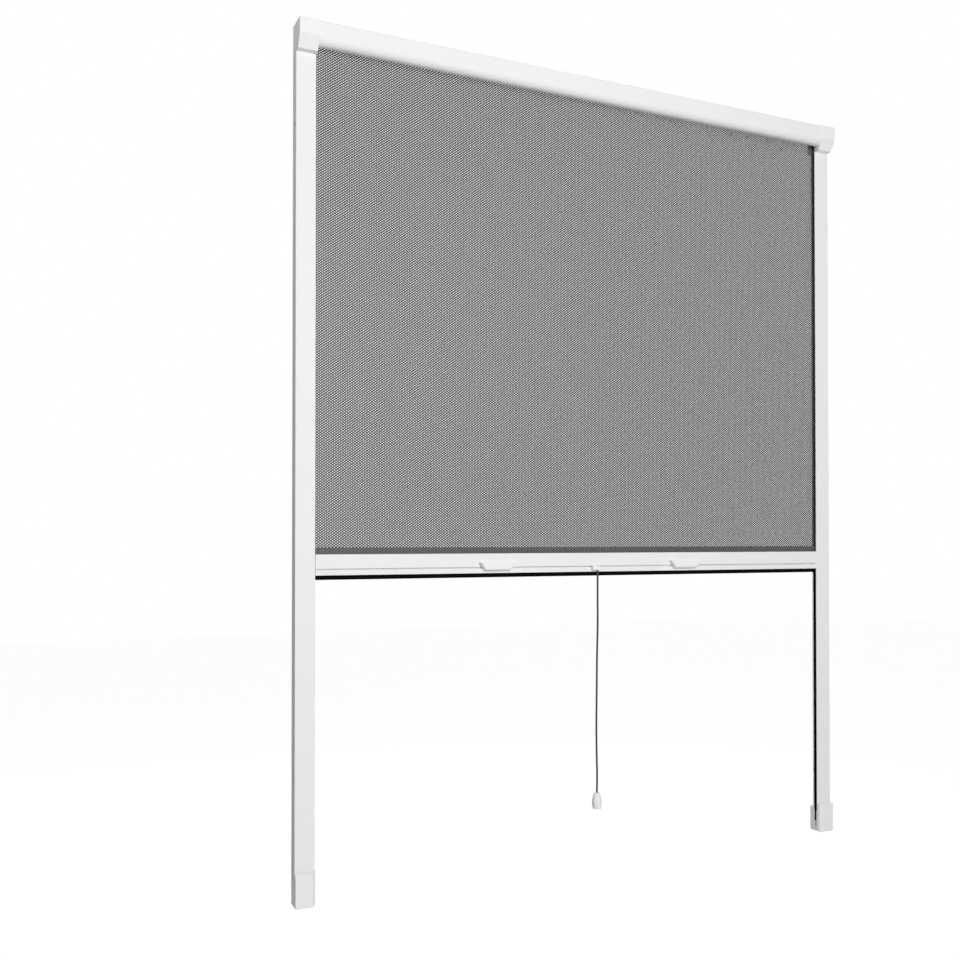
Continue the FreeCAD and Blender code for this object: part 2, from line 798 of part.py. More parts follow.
def make_tube_plug(name, hole_radius):
    """Plug in the right end of the tube, turning on a pin or on the shaft."""
    clearance = size("running_clearance")
    inside = TUBE_END - size("plug_length")
    flange_end = TUBE_END + size("plug_flange")
    body_radius = size("tube_radius") - size("tube_wall") - clearance
    core = rod_along_x(name + "_core", body_radius, (inside, TUBE_END), AXIS_Y, AXIS_Z)
    notch_half = size("keder_rib_width") / 2 + clearance
    notch = box(
        name + "_notch",
        (inside, TUBE_END),
        (AXIS_Y - notch_half, AXIS_Y + notch_half),
        (AXIS_Z + size("tube_radius") - size("keder_rib_depth") - clearance, AXIS_Z + size("tube_radius")),
    )
    flange = rod_along_x(name + "_flange", size("tube_radius"), (TUBE_END, flange_end), AXIS_Y, AXIS_Z)
    blank = fuse(name + "_blank", [cut(name + "_notched", core, notch), flange])
    bore = rod_along_x(name + "_bore", hole_radius + clearance, (inside, flange_end), AXIS_Y, AXIS_Z)
    return cut(name, blank, bore)


def make_roll():
    """Cloth wound on the tube, its turns as one sleeve."""
    span = (-CLOTH_EDGE, CLOTH_EDGE)
    outer = rod_along_x("roll_outer", size("roll_radius"), span, AXIS_Y, AXIS_Z)
    inner = rod_along_x("roll_inner", size("tube_radius"), span, AXIS_Y, AXIS_Z)
    keep(cut("cloth_roll", outer, inner), "cloth_roll")


def make_spring_drive():
    """Shaft in the left cap, its anchor, the torsion spring round it, and the right pin."""
    wall_face = HALF_WIDTH - size("cap_wall")
    boss_face = wall_face - size("cap_boss_length")
    half = size("shaft_square") / 2
    shaft_end = size("shaft_length") - boss_face
    rod = rod_along_x("shaft_rod", size("shaft_radius"), (-boss_face, shaft_end), AXIS_Y, AXIS_Z)
    square = box(
        "shaft_square_end",
        (-wall_face, -boss_face),
        (AXIS_Y - half, AXIS_Y + half),
        (AXIS_Z - half, AXIS_Z + half),
    )
    keep(fuse("spring_shaft", [rod, square]), "spring_shaft")
    anchor_start = shaft_end - size("anchor_length")
    span = (anchor_start, shaft_end)
    collar = rod_along_x("anchor_collar", size("anchor_radius"), span, AXIS_Y, AXIS_Z)
    bore = rod_along_x("anchor_bore", size("shaft_radius"), span, AXIS_Y, AXIS_Z)
    keep(cut("spring_anchor", collar, bore), "spring_anchor")
    plug_inside = size("plug_length") - TUBE_END
    make_spring(plug_inside + size("spring_clearance"), anchor_start)
    pin_span = (boss_face - size("pin_reach"), wall_face)
    keep(rod_along_x("idler_pin", size("pin_radius"), pin_span, AXIS_Y, AXIS_Z), "idler_pin")


def make_spring(start, end):
    """Coil of round wire from the tube plug to the anchor."""
    wire = size("wire_radius")
    coil = size("shaft_radius") + size("spring_clearance") + wire
    helix = doc.addObject("Part::Helix", "spring_path")
    bind(helix, Radius=coil, Pitch=size("spring_pitch"), Height=end - start - wire * 2)
    section = doc.addObject("Part::Circle", "spring_section")
    bind(section, Radius=wire)
    section.setExpression("Placement.Base.x", coil.formula)
    section.Placement.Rotation = FreeCAD.Rotation(FreeCAD.Vector(1, 0, 0), 90)
    sweep = doc.addObject("Part::Sweep", "torsion_spring")
    sweep.Sections = [section]
    doc.recompute()
    sweep.Spine = (helix, ["Edge%d" % (index + 1) for index in range(len(helix.Shape.Edges))])
    sweep.Solid = True
    sweep.Frenet = True
    sweep.Placement.Rotation = FreeCAD.Rotation(FreeCAD.Vector(0, 1, 0), 90)
    place(sweep, start + wire, AXIS_Y, AXIS_Z)
    keep(sweep, "torsion_spring")


def make_cloth():
    """Hanging cloth: one thin wall with rows of gaps and raised weft ridges between them."""
    cloth_bottom = BAR_TOP + size("hem_height")
    tall = AXIS_Z - cloth_bottom
    wide = CLOTH_EDGE * 2
    body = new_body("screen_cloth")
    sheet_sketch = new_sketch(body, "cloth_outline", "XZ_Plane")
    draw_rectangle(sheet_sketch, ZERO, wide, ZERO, tall)
    pad(body, sheet_sketch, "cloth_pad", size("cloth_thickness"))
    pitch_x = wide / GAP_COLUMNS
    pitch_z = tall / GAP_ROWS
    share = size("cloth_gap_share")
    margin_x = (pitch_x - pitch_x * share) / 2
    margin_z = (pitch_z - pitch_z * share) / 2
    ridge = new_sketch(body, "cloth_ridge", "XZ_Plane")
    ridge_half = size("cloth_ridge_width") / 2
    draw_rectangle(ridge, ZERO, wide, pitch_z - ridge_half, pitch_z + ridge_half)
    ridge_pad = pad(body, ridge, "cloth_ridge_pad", size("cloth_thickness") + size("cloth_ridge_height"))
    doc.recompute()
    pattern(body, ridge_pad, "cloth_ridges", ridge, [("V_Axis", tall - pitch_z * 2, GAP_ROWS - 1)])
    gap = new_sketch(body, "cloth_gap", "XZ_Plane")
    draw_rectangle(gap, margin_x, pitch_x - margin_x, margin_z, pitch_z - margin_z)
    gap_cut = pocket(body, gap, "cloth_gap_cut", size("cloth_thickness"), reverse=True)
    pattern(body, gap_cut, "cloth_gaps", gap, [
        ("H_Axis", wide - pitch_x, GAP_COLUMNS),
        ("V_Axis", tall - pitch_z, GAP_ROWS),
    ])
    place(body, -CLOTH_EDGE, GROOVE_Y + size("cloth_thickness") / 2, cloth_bottom)
    keep(body, "screen_cloth")


def pattern(body, original, name, sketch, directions):
    """Repeat a feature along one or two sketch axes, each given by its whole length."""
    steps = []
    grid = body.newObject("PartDesign::MultiTransform", name)
    grid.Originals = [original]
    for axis, length, count in directions:
        step = body.newObject("PartDesign::LinearPattern", "%s_%s" % (name, axis.lower()))
        step.Direction = (sketch, [axis])
        bind(step, Length=length)
        step.Occurrences = count
        steps.append(step)
    grid.Transformations = steps
    body.Tip = grid
    doc.recompute()
    return grid


def make_hem():
    """Doubled lower end of the cloth: as wide as the cloth, and narrower down to the welt in the bar."""
    half = size("hem_thickness") / 2
    thick = (GROOVE_Y - half, GROOVE_Y + half)
    span = (-BAR_PROFILE_END, BAR_PROFILE_END)
    band = box("hem_band", (-CLOTH_EDGE, CLOTH_EDGE), thick, (BAR_TOP, BAR_TOP + size("hem_height")))
    root = box("hem_root", span, thick, (keder_top(), BAR_TOP))
    keep(fuse("cloth_hem", [band, root]), "cloth_hem")
    centre = keder_top() - size("bar_keder_radius")
    keep(rod_along_x("bar_keder", size("bar_keder_radius"), span, GROOVE_Y, centre), "bar_keder")


def keder_top():
    return BAR_TOP - size("bar_wall") - size("strip_clearance")


def make_bar():
    """Bottom bar: hollow section with a welt channel above, a brush slot below and a snap groove."""
    wall = size("bar_wall")
    radius = size("bar_edge_radius")
    mouth = size("bar_channel_mouth") / 2
    channel = size("bar_channel_width") / 2
    channel_top = BAR_TOP - wall
    channel_floor = channel_top - size("bar_channel_depth")
    slot_mouth = size("brush_slot_mouth") / 2
    slot = size("brush_slot_width") / 2
    slot_low = BAR_BOTTOM + wall
    slot_high = slot_low + size("brush_slot_height")
    groove_low = SNAP_GROOVE_Z - size("snap_groove_height") / 2
    groove_high = SNAP_GROOVE_Z + size("snap_groove_height") / 2
    groove_back = BAR_FRONT + size("snap_groove_depth")
    centre = BAR_MIDDLE
    body = new_body("bar_profile")
    section = new_sketch(body, "bar_section", "YZ_Plane")
    draw_outline(section, [
        (BAR_FRONT, BAR_TOP, radius),
        (centre - mouth, BAR_TOP),
        (centre - mouth, channel_top),
        (centre - channel, channel_top),
        (centre - channel, channel_floor),
        (centre + channel, channel_floor),
        (centre + channel, channel_top),
        (centre + mouth, channel_top),
        (centre + mouth, BAR_TOP),
        (BAR_REAR, BAR_TOP, radius),
        (BAR_REAR, BAR_BOTTOM, radius),
        (centre + slot_mouth, BAR_BOTTOM),
        (centre + slot_mouth, slot_low),
        (centre + slot, slot_low),
        (centre + slot, slot_high),
        (centre - slot, slot_high),
        (centre - slot, slot_low),
        (centre - slot_mouth, slot_low),
        (centre - slot_mouth, BAR_BOTTOM),
        (BAR_FRONT, BAR_BOTTOM, radius),
        (BAR_FRONT, groove_low),
        (groove_back, groove_low),
        (groove_back, groove_high),
        (BAR_FRONT, groove_high),
    ])
    chamber_low = slot_high + wall
    draw_outline(section, [
        (BAR_FRONT + wall, channel_floor - wall),
        (BAR_REAR - wall, channel_floor - wall),
        (BAR_REAR - wall, chamber_low),
        (BAR_FRONT + wall, chamber_low),
        (BAR_FRONT + wall, groove_low - wall),
        (groove_back + wall, groove_low - wall),
        (groove_back + wall, groove_high + wall),
        (BAR_FRONT + wall, groove_high + wall),
    ])
    pad(body, section, "bar_pad", BAR_PROFILE_END * 2)
    place(body, x=-BAR_PROFILE_END)
    keep(body, "bar_profile")


def make_bar_end():
    """Plug in the right end of the bar: a plate, a spigot and the tongue that runs in the rail."""
    wall = size("bar_wall")
    fit = size("spigot_clearance")
    radius = size("bar_edge_radius")
    body = new_body("bar_end_right")
    plate = new_sketch(body, "bar_end_plate", "YZ_Plane", BAR_PROFILE_END)
    draw_outline(plate, [
        (BAR_FRONT, BAR_TOP, radius),
        (BAR_REAR, BAR_TOP, radius),
        (BAR_REAR, BAR_BOTTOM, radius),
        (BAR_FRONT, BAR_BOTTOM, radius),
    ])
    pad(body, plate, "bar_end_plate_pad", size("end_plate"))
    spigot = new_sketch(body, "bar_end_spigot", "YZ_Plane", BAR_PROFILE_END)
    spigot_low = SNAP_GROOVE_Z + size("snap_groove_height") / 2 + wall + fit
    spigot_high = BAR_TOP - wall * 2 - size("bar_channel_depth") - fit
    draw_rectangle(spigot, BAR_FRONT + wall + fit, BAR_REAR - wall - fit, spigot_low, spigot_high)
    pad(body, spigot, "bar_end_spigot_pad", size("end_spigot_length"), reverse=True)
    tongue = new_sketch(body, "bar_end_tongue", "YZ_Plane", BAR_END)
    half = size("groove_width") / 2 - size("brush_height") - size("tongue_clearance")
    tongue_low = BAR_BOTTOM + size("tongue_lift")
    draw_rectangle(tongue, GROOVE_Y - half, GROOVE_Y + half, tongue_low, BAR_TOP - size("tongue_top_drop"))
    pad(body, tongue, "bar_end_tongue_pad", size("tongue_length"))
    keep(body, "bar_end_right")
    mirrored("bar_end_left", body)


def make_bar_brush():
    """Brush under the bar: a backing in the slot and a pile from rail to rail."""
    fit = size("strip_clearance")
    slot_low = BAR_BOTTOM + size("bar_wall")
    backing_half = size("brush_slot_width") / 2 - fit
    pile_half = size("brush_slot_mouth") / 2 - fit
    tip = BAR_BOTTOM - size("bar_brush_drop")
    backing = box(
        "bar_brush_backing",
        (-BAR_PROFILE_END, BAR_PROFILE_END),
        (BAR_MIDDLE - backing_half, BAR_MIDDLE + backing_half),
        (slot_low, slot_low + size("brush_slot_height") - fit),
    )
    neck = box(
        "bar_brush_neck",
        (-BAR_PROFILE_END, BAR_PROFILE_END),
        (BAR_MIDDLE - pile_half, BAR_MIDDLE + pile_half),
        (BAR_BOTTOM, slot_low),
    )
    pile = box(
        "bar_brush_pile",
        (-BAR_END, BAR_END),
        (BAR_MIDDLE - pile_half, BAR_MIDDLE + pile_half),
        (tip, BAR_BOTTOM),
    )
    keep(fuse("bar_brush", [backing, neck, pile]), "bar_brush")


def make_grip():
    """Finger grip of the right side: a trapezoid pocket that is open above."""
    top = BAR_TOP - size("grip_top_drop")
    bottom = top - size("grip_height")
    middle = size("grip_offset")
    half = size("grip_width") / 2
    half_low = size("grip_lower_width") / 2
    front = -BAR_FRONT
    body = new_body("handle_right")
    face = new_sketch(body, "grip_face", "XZ_Plane", front)
    draw_outline(face, [
        (middle - half, top),
        (middle - half_low, bottom, size("grip_corner_radius")),
        (middle + half_low, bottom, size("grip_corner_radius")),
        (middle + half, top),
    ])
    pad(body, face, "grip_block", size("grip_depth"))
    lip_front = BAR_FRONT.value - size("grip_depth").value

    def on_front_below(edge):
        on_front = all(near(vertex.Y, lip_front) for vertex in edge.Vertexes)
        return on_front and not all(near(vertex.Z, top.value) for vertex in edge.Vertexes)

    round_edges(body, "grip_front_round", size("grip_edge_radius"), on_front_below)
    trough = new_sketch(body, "grip_trough", "XY_Plane", top)
    trough_half = size("grip_trough_width") / 2
    trough_front = BAR_FRONT - size("grip_depth") + size("grip_lip")
    trough_back = BAR_FRONT - size("grip_back")
    draw_rectangle(trough, middle - trough_half, middle + trough_half, trough_front, trough_back)
    pocket(body, trough, "grip_trough_cut", size("grip_trough_depth"))
    snap = new_sketch(body, "grip_snap", "XZ_Plane", front)
    snap_half = size("grip_snap_width") / 2
    snap_rise = size("snap_groove_height") / 2 - size("strip_clearance")
    snap_low = SNAP_GROOVE_Z - snap_rise
    draw_rectangle(snap, middle - snap_half, middle + snap_half, snap_low, SNAP_GROOVE_Z + snap_rise)
    pad(body, snap, "grip_snap_pad", size("snap_groove_depth") - size("strip_clearance"), reverse=True)
    keep(body, "handle_right")
    mirrored("handle_left", body)


def make_knob():
    """Small clip near the middle of the bar that the pull cord hangs from."""
    top = BAR_TOP - size("knob_top_drop")
    middle = size("knob_side")
    half = size("knob_width") / 2
    radius = size("knob_radius")
    front = -BAR_FRONT
    body = new_body("cord_knob")
    face = new_sketch(body, "knob_face", "XZ_Plane", front)
    draw_outline(face, [
        (middle - half, top, radius),
        (middle - half, CORD_TOP, radius),
        (middle + half, CORD_TOP, radius),
        (middle + half, top, radius),
    ])
    pad(body, face, "knob_block", size("knob_depth"))
    lip = BAR_FRONT.value - size("knob_depth").value

    def on_front(edge):
        return all(near(vertex.Y, lip) for vertex in edge.Vertexes)

    round_edges(body, "knob_front_round", size("cap_edge_radius"), on_front)
    snap = new_sketch(body, "knob_snap", "XZ_Plane", front)
    snap_half = half - radius
    snap_rise = size("snap_groove_height") / 2 - size("strip_clearance")
    snap_low = SNAP_GROOVE_Z - snap_rise
    draw_rectangle(snap, middle - snap_half, middle + snap_half, snap_low, SNAP_GROOVE_Z + snap_rise)
    pad(body, snap, "knob_snap_pad", size("snap_groove_depth") - size("strip_clearance"), reverse=True)
    keep(body, "cord_knob")


def cord_points():
    exit_point = FreeCAD.Vector(
        size("knob_side").value + size("cord_side").value,
        BAR_FRONT.value - size("cord_stand_off").value,
        CORD_TOP.value,
    )
    return [exit_point + FreeCAD.Vector(*point) for point in CORD_ROUTE]


def make_cord():
    """Pull cord as straight runs joined by tangent arcs, swept with a round section."""
    points = cord_points()
    diameter = sheet.get("cord_diameter")
    edges = []
    radii = []
    start = points[0]
    for before, corner, after in zip(points, points[1:], points[2:]):
        back = before - corner
        ahead = after - corner
        half_turn = (math.pi - back.getAngle(ahead)) / 2
        reach = 0.45 * min(back.Length, ahead.Length)
        radius = reach / math.tan(half_turn)
        radii.append(radius)
        back.normalize()
        ahead.normalize()
        first = corner + back * reach
        last = corner + ahead * reach
        middle_way = (back + ahead).normalize()
        centre_way = radius / math.cos(half_turn)
        middle = corner + middle_way * (centre_way - radius)
        edges.append(Part.LineSegment(start, first).toShape())
        edges.append(Part.Arc(first, middle, last).toShape())
        start = last
    edges.append(Part.LineSegment(start, points[-1]).toShape())
    path = Part.Wire(edges)
    direction = points[1] - points[0]
    section = Part.Wire(Part.makeCircle(diameter / 2, points[0], direction))
    solid = path.makePipeShell([section], True, False)
    expected = math.pi * diameter ** 2 / 4 * path.Length
    print("cord length %.1f mm, radii %s" % (path.Length, ["%.0f" % radius for radius in radii]))
    print("cord volume %.1f, section times length %.1f" % (solid.Volume, expected))
    cord = doc.addObject("Part::Feature", "pull_cord")
    cord.Shape = solid
    keep(cord, "pull_cord")


def make_bell():
    """Faceted bell on the end of the cord, lofted between eight-sided rings."""
    end = cord_points()[-1]
    tall = size("bell_height")
    rings = []
    for name, radius, share in (
        ("top", "bell_top_radius", 0.0),
        ("shoulder", "bell_shoulder_radius", 0.16),
        ("waist", "bell_waist_radius", 0.64),
        ("foot", "bell_foot_radius", 1.0),
    ):
        ring = doc.addObject("Part::RegularPolygon", "bell_" + name)
        ring.Polygon = BELL_SIDES
        bind(ring, Circumradius=size(radius))
        ring.Placement.Rotation = FreeCAD.Rotation(FreeCAD.Vector(0, 0, 1), 180 / BELL_SIDES)
        place(ring, z=-(tall * share))
        rings.append(ring)
    loft = doc.addObject("Part::Loft", "cord_bell")
    loft.Sections = rings
    loft.Solid = True
    loft.Ruled = True
    loft.Placement.Base = end
    keep(loft, "cord_bell")


def make_all():
    make_housing()
    make_end_caps()
    make_rail()
    for side, wall_y, inward in (("front", GROOVE_FRONT, 1), ("rear", GROOVE_REAR, -1)):
        make_rail_brush(side, wall_y, inward)
    make_foot()
    make_foot_catch()
    make_tube()
    keep(make_tube_plug("tube_plug_right", size("pin_radius")), "tube_plug_right")
    mirrored("tube_plug_left", make_tube_plug("left_plug_pattern", size("shaft_radius")))
    make_roll()
    make_spring_drive()
    make_cloth()
    make_hem()
    make_bar()
    make_bar_end()
    make_bar_brush()
    make_grip()
    make_knob()
    make_cord()
    make_bell()
    doc.recompute()


def check_and_write():
    """Stop on any failed object or bad shape, then write one file for each sub-part."""
    for item in doc.Objects:
        if "Invalid" in item.State or "Error" in item.State:
            raise RuntimeError("%s failed: %s" % (item.Label, item.State))
    for item in nodes:
        if item.Shape.isNull() or not item.Shape.isValid():
            raise RuntimeError("%s has no valid shape" % item.Label)
    os.makedirs("parts", exist_ok=True)
    for item in nodes:
        item.Shape.exportStep("parts/%s.step" % item.Label)
    print("%d sub-parts written" % len(nodes))


make_all()
check_and_write()
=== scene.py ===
import math
import random

import bmesh
import bpy
from bpy.props import FloatProperty, FloatVectorProperty, IntProperty, PointerProperty
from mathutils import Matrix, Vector


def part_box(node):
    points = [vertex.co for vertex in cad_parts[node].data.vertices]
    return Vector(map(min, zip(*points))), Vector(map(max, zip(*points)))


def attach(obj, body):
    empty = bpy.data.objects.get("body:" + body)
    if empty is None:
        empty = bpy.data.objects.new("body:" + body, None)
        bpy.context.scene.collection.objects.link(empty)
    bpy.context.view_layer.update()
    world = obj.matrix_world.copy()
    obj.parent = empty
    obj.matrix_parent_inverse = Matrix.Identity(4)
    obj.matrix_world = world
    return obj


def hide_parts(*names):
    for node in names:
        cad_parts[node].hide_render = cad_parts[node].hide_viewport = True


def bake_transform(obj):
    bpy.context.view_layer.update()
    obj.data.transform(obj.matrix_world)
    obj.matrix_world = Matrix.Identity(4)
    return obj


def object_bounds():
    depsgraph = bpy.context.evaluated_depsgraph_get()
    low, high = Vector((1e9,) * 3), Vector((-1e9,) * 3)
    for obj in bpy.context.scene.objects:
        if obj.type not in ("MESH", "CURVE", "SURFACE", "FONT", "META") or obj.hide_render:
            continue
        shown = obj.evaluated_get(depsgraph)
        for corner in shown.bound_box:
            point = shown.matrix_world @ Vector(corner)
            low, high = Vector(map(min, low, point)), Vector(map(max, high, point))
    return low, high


bl_info = {
    "name": "Roller insect screen",
    "version": (1, 0, 0),
    "blender": (4, 5, 0),
    "location": "3D Viewport > Sidebar > Screen",
    "description": "Mesh, brushes, cord, bell, finishes and studio of a roller insect screen",
    "category": "Object",
}

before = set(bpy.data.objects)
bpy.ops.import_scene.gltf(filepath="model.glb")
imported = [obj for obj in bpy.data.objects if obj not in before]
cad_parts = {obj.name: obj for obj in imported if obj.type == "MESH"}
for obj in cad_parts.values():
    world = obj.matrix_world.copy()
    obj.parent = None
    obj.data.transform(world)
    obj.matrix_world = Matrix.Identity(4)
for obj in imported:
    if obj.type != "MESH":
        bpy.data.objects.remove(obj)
CAD_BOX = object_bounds()

MM = 0.001


def linear(hex_value):
    """Linear red, green and blue of an sRGB hex value."""
    shares = [int(hex_value[start:start + 2], 16) / 255 for start in (0, 2, 4)]
    return [s / 12.92 if s <= 0.04045 else ((s + 0.055) / 1.055) ** 2.4 for s in shares]


def size_property(name, description, millimetres):
    return FloatProperty(
        name=name, description=description, default=millimetres * MM, unit="LENGTH", precision=5
    )


def colour_property(name, description, hex_value):
    return FloatVectorProperty(
        name=name, description=description, default=linear(hex_value), size=3, subtype="COLOR"
    )


class ScreenSizes(bpy.types.PropertyGroup):
    """Sizes of the soft pieces, which a user would change."""

    lattice_width: size_property("Lattice width", "Width of one diamond of the mesh", 5.3)
    lattice_height: size_property("Lattice height", "Height of one diamond of the mesh", 3.8)
    rising_width: size_property("Rising yarn", "Width of the flattened yarns that rise to the right", 1.76)
    falling_width: size_property("Falling yarn", "Width of the flattened yarns that fall to the right", 1.34)
    yarn_thickness: size_property("Yarn thickness", "Thickness of one yarn of the mesh", 0.17)
    hem_core: size_property("Hem core", "Thickness of the welded hem under its yarns", 0.66)
    pile_pitch: size_property("Pile pitch", "Distance from tuft to tuft along a brush", 1.1)
    pile_tuft: size_property("Pile tuft", "Half width of a tuft at its root", 0.55)
    pile_core: size_property("Pile core", "How far the tufts stand out of a brush's dense core", 0.5)
    cord_diameter: size_property("Cord diameter", "Diameter of the braided pull cord", 3.2)
    bell_wall: size_property("Bell wall", "Wall of the hollow bell at its mouth", 1.3)
    roll_turns: IntProperty(name="Roll turns", description="Turns of cloth on the tube", default=7, min=2)


class ScreenColours(bpy.types.PropertyGroup):
    """Colours of the finishes, which a user would change."""

    coat: colour_property("Powder coat", "Coat of the cassette, rails and bar", "F1F1F0")
    moulding: colour_property("Moulding", "Plastic of the caps, feet, grips and bell", "F3F3F1")
    yarn: colour_property("Yarn", "Coated yarn of the mesh", "272829")
    # The hem's tone is lighter than the yarn's: painted light shining through the welded layers
    hem: colour_property("Hem", "Welded hem of the mesh", "4C4D4D")
    pile: colour_property("Pile", "Bristles of the brushes", "060606")
    braid: colour_property("Braid", "Pull cord", "2A2B2C")
    acetal: colour_property("Acetal", "Plugs, welts and catches", "DAD8D2")


class ScreenStage(bpy.types.PropertyGroup):
    """Camera and light, which a user would change."""

    lens: FloatProperty(
        name="Lens", description="Focal length in millimetres", default=38.95, min=10, max=200
    )
    key_power: FloatProperty(name="Key", description="Front lamp in watts", default=70, min=0)
    side_power: FloatProperty(name="Side", description="Upper left lamp in watts", default=10, min=0)
    top_power: FloatProperty(name="Top", description="Overhead lamp in watts", default=20, min=0)
    back_power: FloatProperty(name="Back", description="Lamp behind in watts", default=30, min=0)
    sky: FloatProperty(name="Sky", description="Level of the light from all round", default=0.05, min=0)
    glow: FloatProperty(name="Glow", description="Floor's own brightness to the camera", default=1.2)
    glow_share: FloatProperty(name="Glow share", description="Share of it over the floor's shade", default=0.8)
    floor_drop: size_property("Floor drop", "How far the floor lies below the feet", 430)


# Meshes


class Shape:
    """Points and faces of a piece while it is being made, in metres."""

    def __init__(self):
        self.points = []
        self.faces = []

    def loft(self, rings):
        """Closed skin through rings of equally many points, capped at both ends."""
        start = len(self.points)
        count = len(rings[0])
        for ring in rings:
            self.points.extend(ring)
        for step in range(len(rings) - 1):
            low = start + step * count
            high = low + count
            for index in range(count):
                following = (index + 1) % count
                self.faces.append((low + index, low + following, high + following, high + index))
        self.faces.append(tuple(range(start + count - 1, start - 1, -1)))
        last = start + (len(rings) - 1) * count
        self.faces.append(tuple(range(last, last + count)))

    def block(self, low, high):
        """Plain block between two corners, for backings and cores."""
        rings = []
        for z in (low[2], high[2]):
            rings.append([
                (low[0], low[1], z),
                (high[0], low[1], z),
                (high[0], high[1], z),
                (low[0], high[1], z),
            ])
        self.loft(rings)


def add_piece(name, shape, material, smooth_angle=None):
    """Object from a shape, with its material."""
    mesh = bpy.data.meshes.new(name)
    mesh.from_pydata(shape.points, [], shape.faces)
    work = bmesh.new()
    work.from_mesh(mesh)
    bmesh.ops.recalc_face_normals(work, faces=work.faces)
    work.to_mesh(mesh)
    work.free()
    if smooth_angle is not None:
        mesh.polygons.foreach_set("use_smooth", [True] * len(mesh.polygons))
        mesh.set_sharp_from_angle(angle=math.radians(smooth_angle))
    mesh.materials.append(material)
    piece = bpy.data.objects.new(name, mesh)
    bpy.context.scene.collection.objects.link(piece)
    return piece


def clip(polygon, limit, keep_below):
    """Part of an (x, z) polygon on one side of an upright line."""
    kept = []
    for index, point in enumerate(polygon):
        before = polygon[index - 1]
        inside = point[0] <= limit if keep_below else point[0] >= limit
        before_inside = before[0] <= limit if keep_below else before[0] >= limit
        if inside != before_inside:
            share = (limit - before[0]) / (point[0] - before[0])
            kept.append((limit, before[1] + share * (point[1] - before[1])))
        if inside:
            kept.append(point)
    return kept


def add_yarns(shape, left, right, low, high, front, back, rising, width):
    """One family of slanted yarns that fills a rectangle of the cloth."""
    sizes = bpy.context.scene.screen_sizes
    slope = sizes.lattice_width / sizes.lattice_height * (1 if rising else -1)
    half = width / 2 * math.hypot(1, slope)
    reach = max(abs(low), abs(high)) * abs(slope)
    first = math.floor((left - reach) / sizes.lattice_width) - 1
    last = math.ceil((right + reach) / sizes.lattice_width) + 1
    for step in range(first, last + 1):
        start = step * sizes.lattice_width
        x_low = start + low * slope
        x_high = start + high * slope
        outline = [(x_low - half, low), (x_low + half, low), (x_high + half, high), (x_high - half, high)]
        outline = clip(clip(outline, left, False), right, True)
        if len(outline) > 2:
            shape.loft([[(x, front, z) for x, z in outline], [(x, back, z) for x, z in outline]])


def add_tuft(shape, root, tip, half, turn):
    """One tuft: a closed three-sided taper from root to tip."""
    along = (tip - root).normalized()
    across = along.orthogonal().normalized()
    other = along.cross(across)
    rings = []
    for centre, radius in ((root, half), (tip, half * 0.55)):
        ring = []
        for corner in range(3):
            angle = turn + corner * math.tau / 3
            ring.append(tuple(centre + (across * math.cos(angle) + other * math.sin(angle)) * radius))
        rings.append(ring)
    shape.loft(rings)


# Materials


def add_node(material, kind, settings=None, links=None):
    """Add a shader node, set its sockets or properties and link what feeds it."""
    tree = material.node_tree
    node = tree.nodes.new(kind)
    for name, value in (settings or {}).items():
        if name in node.inputs:
            node.inputs[name].default_value = value
        else:
            setattr(node, name, value)
    for name, source in (links or {}).items():
        tree.links.new(source, node.inputs[name])
    return node


def per_metre(millimetres):
    """Texture scale at which one feature is about this size."""
    return 1 / (millimetres * MM)


def new_material(name, colour, roughness, metallic=0.0):
    """Material, its shader and its object coordinates."""
    material = bpy.data.materials.new(name)
    material.use_nodes = True
    shader = material.node_tree.nodes["Principled BSDF"]
    shader.inputs["Base Color"].default_value = (*colour, 1)
    shader.inputs["Roughness"].default_value = roughness
    shader.inputs["Metallic"].default_value = metallic
    place = add_node(material, "ShaderNodeTexCoord").outputs["Object"]
    return material, shader, place


def vary_colour(material, shader, colour, other, mask):
    """Run the base colour between two tones by a mask."""
    mix = add_node(material, "ShaderNodeMix", {"data_type": "RGBA"})
    mix.inputs[6].default_value = (*colour, 1)
    mix.inputs[7].default_value = (*other, 1)
    material.node_tree.links.new(mask, mix.inputs["Factor"])
    material.node_tree.links.new(mix.outputs[2], shader.inputs["Base Color"])


def scaled(colour, share):
    return [value * share for value in colour]


def vary_roughness(material, shader, mask, low, high):
    spread = add_node(
        material, "ShaderNodeMapRange", {"To Min": low, "To Max": high}, {"Value": mask}
    )
    material.node_tree.links.new(spread.outputs["Result"], shader.inputs["Roughness"])


def add_bump(material, shader, height, depth_mm, strength=1.0):
    """Relief of a real depth from a height mask."""
    bump = add_node(
        material,
        "ShaderNodeBump",
        {"Strength": strength, "Distance": depth_mm * MM},
        {"Height": height},
    )
    material.node_tree.links.new(bump.outputs["Normal"], shader.inputs["Normal"])


def noise(material, place, feature_mm, detail=2.0, stretch=None):
    """Noise with features of a real size, drawn out along an axis if asked."""
    if stretch is not None:
        place = add_node(
            material, "ShaderNodeMapping", {"Scale": stretch}, {"Vector": place}
        ).outputs["Vector"]
    return add_node(
        material,
        "ShaderNodeTexNoise",
        {"Scale": per_metre(feature_mm), "Detail": detail},
        {"Vector": place},
    ).outputs["Fac"]


def powder_coated_aluminium():
    """Extruded aluminium with a cured polyester powder coat.

    It gives a silky matt white with a faint orange peel and slow tone drift along the section.
    """
    colour = bpy.context.scene.screen_colours.coat
    material, shader, place = new_material("powder_coated_aluminium", colour, 0.6)
    shader.inputs["Specular IOR Level"].default_value = 0.25
    vary_colour(material, shader, colour, scaled(colour, 0.975), noise(material, place, 90))
    vary_roughness(material, shader, noise(material, place, 6), 0.54, 0.66)
    add_bump(material, shader, noise(material, place, 1.8), 0.02, 0.35)
    return material


